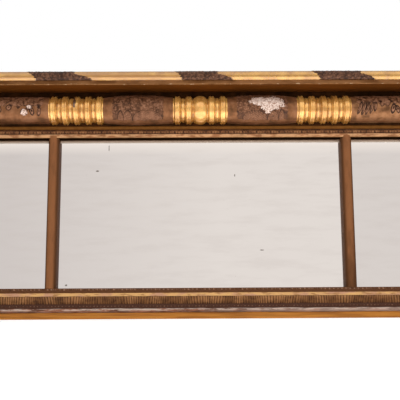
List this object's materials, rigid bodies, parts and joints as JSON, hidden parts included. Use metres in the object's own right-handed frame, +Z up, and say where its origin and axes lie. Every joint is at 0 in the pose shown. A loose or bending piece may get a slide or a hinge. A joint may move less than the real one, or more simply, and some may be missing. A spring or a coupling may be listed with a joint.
{
  "type": "overmantel mirror",
  "caption": "Wide low giltwood overmantel mirror: a centre plate and side plates between divider rods, split turned columns, corner blocks and a torus cornice",
  "frame": {"origin": "centre of the box that bounds the part, at the level of the shelf it stands on", "axes": "+X runs along the width to the viewer's right, +Y points back to the wall, +Z is up; the plates face -Y"},
  "size_m": [1.603, 0.1295, 0.691],
  "materials": {
    "pine": "aged unfinished pine, planed, dusty",
    "backboard": "aged pine boards, rough sawn and browned",
    "plate": "old tin-mercury silvering behind glass, faintly mottled",
    "gilt": "burnished water gilding over red bole on turned wood",
    "worn_gilt": "worn oil gilding, toned brown",
    "dark_turning": "bronzed brown paint on turned wood, lightly worn",
    "ornament": "pressed composition ornament, bronzed dark brown",
    "rod_brown": "plain brown bronzed finish",
    "ochre": "flat yellow ochre wash",
    "soffit_brown": "toned brown gilding in the soffit, worn at the lip",
    "iron": "dull old iron",
    "hanger_brass": "dull unlacquered brass"
  },
  "bodies": {
    "frame": {"carcass_top_rail": "pine", "carcass_bottom_rail": "pine", "carcass_stile_left": "pine", "carcass_stile_right": "pine", "carcass_muntin_left": "pine", "carcass_muntin_right": "pine", "mirror_plate_left": "plate", "mirror_plate_centre": "plate", "mirror_plate_right": "plate", "backboard_left": "backboard", "backboard_centre": "backboard", "backboard_right": "backboard", "glazing_blocks": "pine", "backboard_brads": "iron", "sight_moulding_top": "worn_gilt", "sight_moulding_left": "worn_gilt", "sight_moulding_right": "worn_gilt", "ornament_strip_top": "ornament", "ornament_strip_left": "ornament", "ornament_strip_right": "ornament", "column_board_top": "soffit_brown", "column_board_left": "soffit_brown", "column_board_right": "soffit_brown", "column_gilt_centre": "gilt", "column_gilt_left": "gilt", "column_gilt_right": "gilt", "column_dark_left": "dark_turning", "column_dark_right": "dark_turning", "column_outer_left": "dark_turning", "column_outer_right": "dark_turning", "leaf_sleeve_left": "ornament", "leaf_sleeve_right": "ornament", "leaf_sleeve_outer_left": "ornament", "leaf_sleeve_outer_right": "ornament", "side_column_left": "dark_turning", "side_column_right": "dark_turning", "side_leaf_sleeves": "ornament", "corner_block_top_left": "dark_turning", "corner_block_top_right": "dark_turning", "corner_block_bottom_left": "dark_turning", "corner_block_bottom_right": "dark_turning", "rosettes": "gilt", "cornice_board": "soffit_brown", "cornice_torus_front": "gilt", "cornice_torus_left": "gilt", "cornice_torus_right": "gilt", "cornice_leaf_wraps": "ornament", "cornice_glue_blocks": "pine", "base_strip": "ochre", "bottom_moulding": "worn_gilt", "bottom_leaf_strip": "ornament", "bottom_bead_strips": "ornament", "divider_rod_left": "rod_brown", "divider_rod_right": "rod_brown", "hanger_plate_left": "hanger_brass", "hanger_plate_right": "hanger_brass", "screws": "iron"},
    "ring_left": {"hanger_ring_left": "hanger_brass"},
    "ring_right": {"hanger_ring_right": "hanger_brass"}
  },
  "joints": [
    {"name": "ring_left_swing", "type": "hinge", "parent": "frame", "child": "ring_left", "pos_m": [-0.7085, 0.05865, 0.46075], "axis": [1, 0, 0], "range_deg": [0, 180]},
    {"name": "ring_right_swing", "type": "hinge", "parent": "frame", "child": "ring_right", "pos_m": [0.7085, 0.05865, 0.46075], "axis": [1, 0, 0], "range_deg": [0, 180]}
  ]
}
